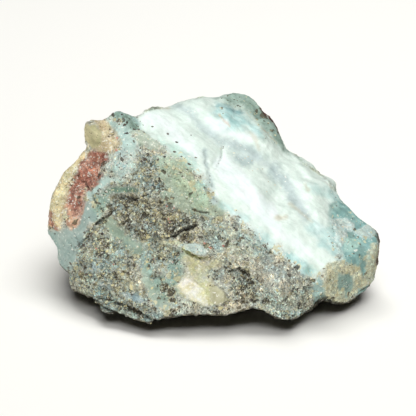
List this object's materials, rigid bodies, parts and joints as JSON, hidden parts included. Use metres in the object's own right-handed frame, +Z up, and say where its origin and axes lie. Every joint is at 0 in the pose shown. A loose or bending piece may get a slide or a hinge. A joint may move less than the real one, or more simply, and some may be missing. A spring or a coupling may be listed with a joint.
{
  "type": "rough larimar stone",
  "caption": "Broken hand specimen of blue-white larimar: a pale vein slab on top, grainy dark matrix in front, a small knob at the upper left, resting on a flat base.",
  "frame": {"origin": "on the flat base, under the middle of the stone's box", "axes": "+X to the right along the stone's length as the pale vein and the matrix are both seen, +Y away from the viewer, +Z up from the base"},
  "size_m": [0.0794, 0.0508, 0.0419],
  "materials": {
    "stone": "broken rough mineral: satin pale blue vein, dull grainy dark matrix, rust-red and cream band at the left end, tan crust at the right end"
  },
  "bodies": {
    "root": {"stone": "stone"}
  },
  "joints": []
}
